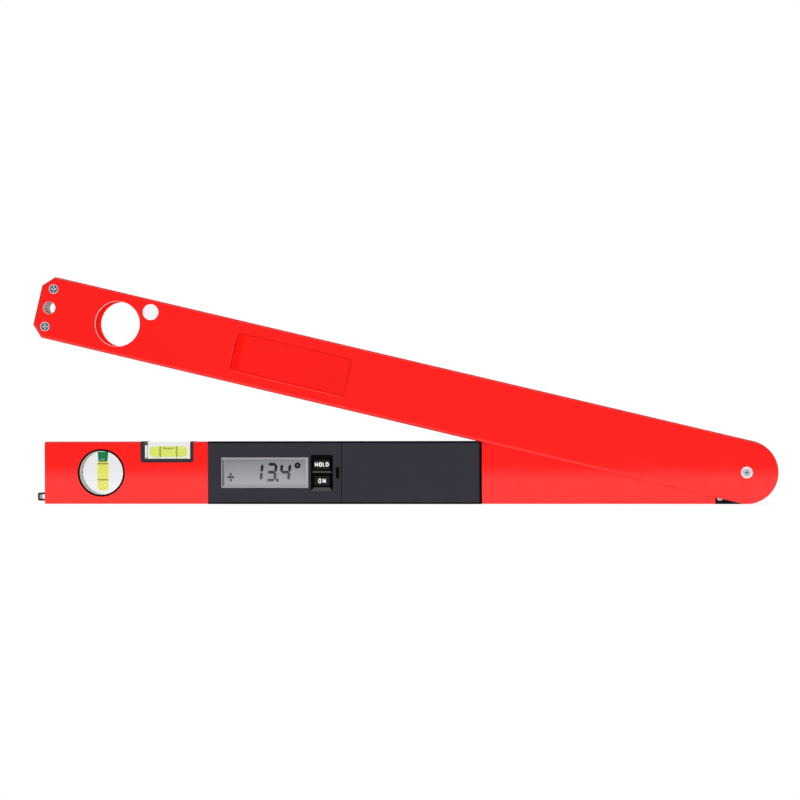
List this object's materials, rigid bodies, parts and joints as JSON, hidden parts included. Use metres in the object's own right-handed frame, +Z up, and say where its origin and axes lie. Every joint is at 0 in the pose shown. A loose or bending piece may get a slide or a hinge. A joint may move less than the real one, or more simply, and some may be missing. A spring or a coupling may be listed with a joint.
{
  "type": "digital protractor",
  "caption": "Digital protractor: a slim base leg with display, keys, plumb and level vials, and a twin-plate arm that swings over it about an end pivot.",
  "frame": {"origin": "middle of the base leg's lower measuring face", "axes": "+X along the base leg to the pivot, +Z up from the measuring face, -Y is the side with the display"},
  "size_m": [0.4566, 0.0268, 0.1398],
  "materials": {
    "red_coat": "satin red coating on aluminium",
    "dark_plastic": "fine matt texture",
    "black_plastic": "matt",
    "black_gloss": "gloss",
    "grey_plastic": "matt",
    "pale_plastic": "satin",
    "clear_acrylic": "polished",
    "vial_liquid": "clear yellow-green liquid",
    "green_plastic": "gloss",
    "zinc": "zinc plated",
    "steel": "turned",
    "bronze": "sintered",
    "board": "solder mask",
    "lcd": "polariser film",
    "rubber": "matt",
    "cell_wrap": "printed sleeve over a steel can",
    "contact": "plated spring strip",
    "disc": "clear with a printed ring",
    "white_label": "blank paper"
  },
  "bodies": {
    "base": {"base_tube": "red_coat", "end_cap": "black_plastic", "plumb_vial_rings": "black_plastic", "plumb_vial_sleeve": "pale_plastic", "plumb_vial_block": "clear_acrylic", "plumb_vial": "vial_liquid", "plumb_vial_stopper": "green_plastic", "level_vial_frame": "black_plastic", "level_vial_block": "clear_acrylic", "level_vial": "vial_liquid", "display_housing": "dark_plastic", "display_lens": "clear_acrylic", "lcd_panel": "lcd", "lcd_strips": "rubber", "key_bezel": "black_gloss", "main_board": "board", "controller_chip": "black_plastic", "key_switches": "black_plastic", "board_screws": "zinc", "module_screws": "zinc", "battery_cover": "dark_plastic", "battery_tray": "black_plastic", "battery_cells": "cell_wrap", "bridge_contact": "contact", "positive_contact": "contact", "negative_contact": "contact", "power_leads": "rubber", "hinge_block": "black_plastic", "hinge_cover": "black_plastic", "hinge_cover_screws": "zinc", "hinge_block_screws": "zinc", "pivot_bushes": "bronze", "friction_washers": "pale_plastic", "sensor_board": "board", "sensor_chip": "black_plastic", "sensor_cable": "rubber"},
    "arm": {"front_plate": "red_coat", "rear_plate": "red_coat", "end_block": "grey_plastic", "end_block_screws": "zinc", "pivot_shaft": "steel", "pivot_screws": "zinc", "code_disc": "disc", "round_label": "white_label"},
    "hold_key": {"hold_button": "black_gloss"},
    "on_key": {"on_button": "black_gloss"}
  },
  "joints": [
    {"name": "arm_swing", "type": "hinge", "parent": "base", "child": "arm", "pos_m": [0.2249, 0, 0.0192], "axis": [0, 1, 0], "range_deg": [-13.4, 166.6]},
    {"name": "hold_press", "type": "slide", "parent": "base", "child": "hold_key", "axis": [0, 1, 0], "range_m": [0, 0.0008], "stiffness_N_per_m": 2500},
    {"name": "on_press", "type": "slide", "parent": "base", "child": "on_key", "axis": [0, 1, 0], "range_m": [0, 0.0008], "stiffness_N_per_m": 2500}
  ]
}
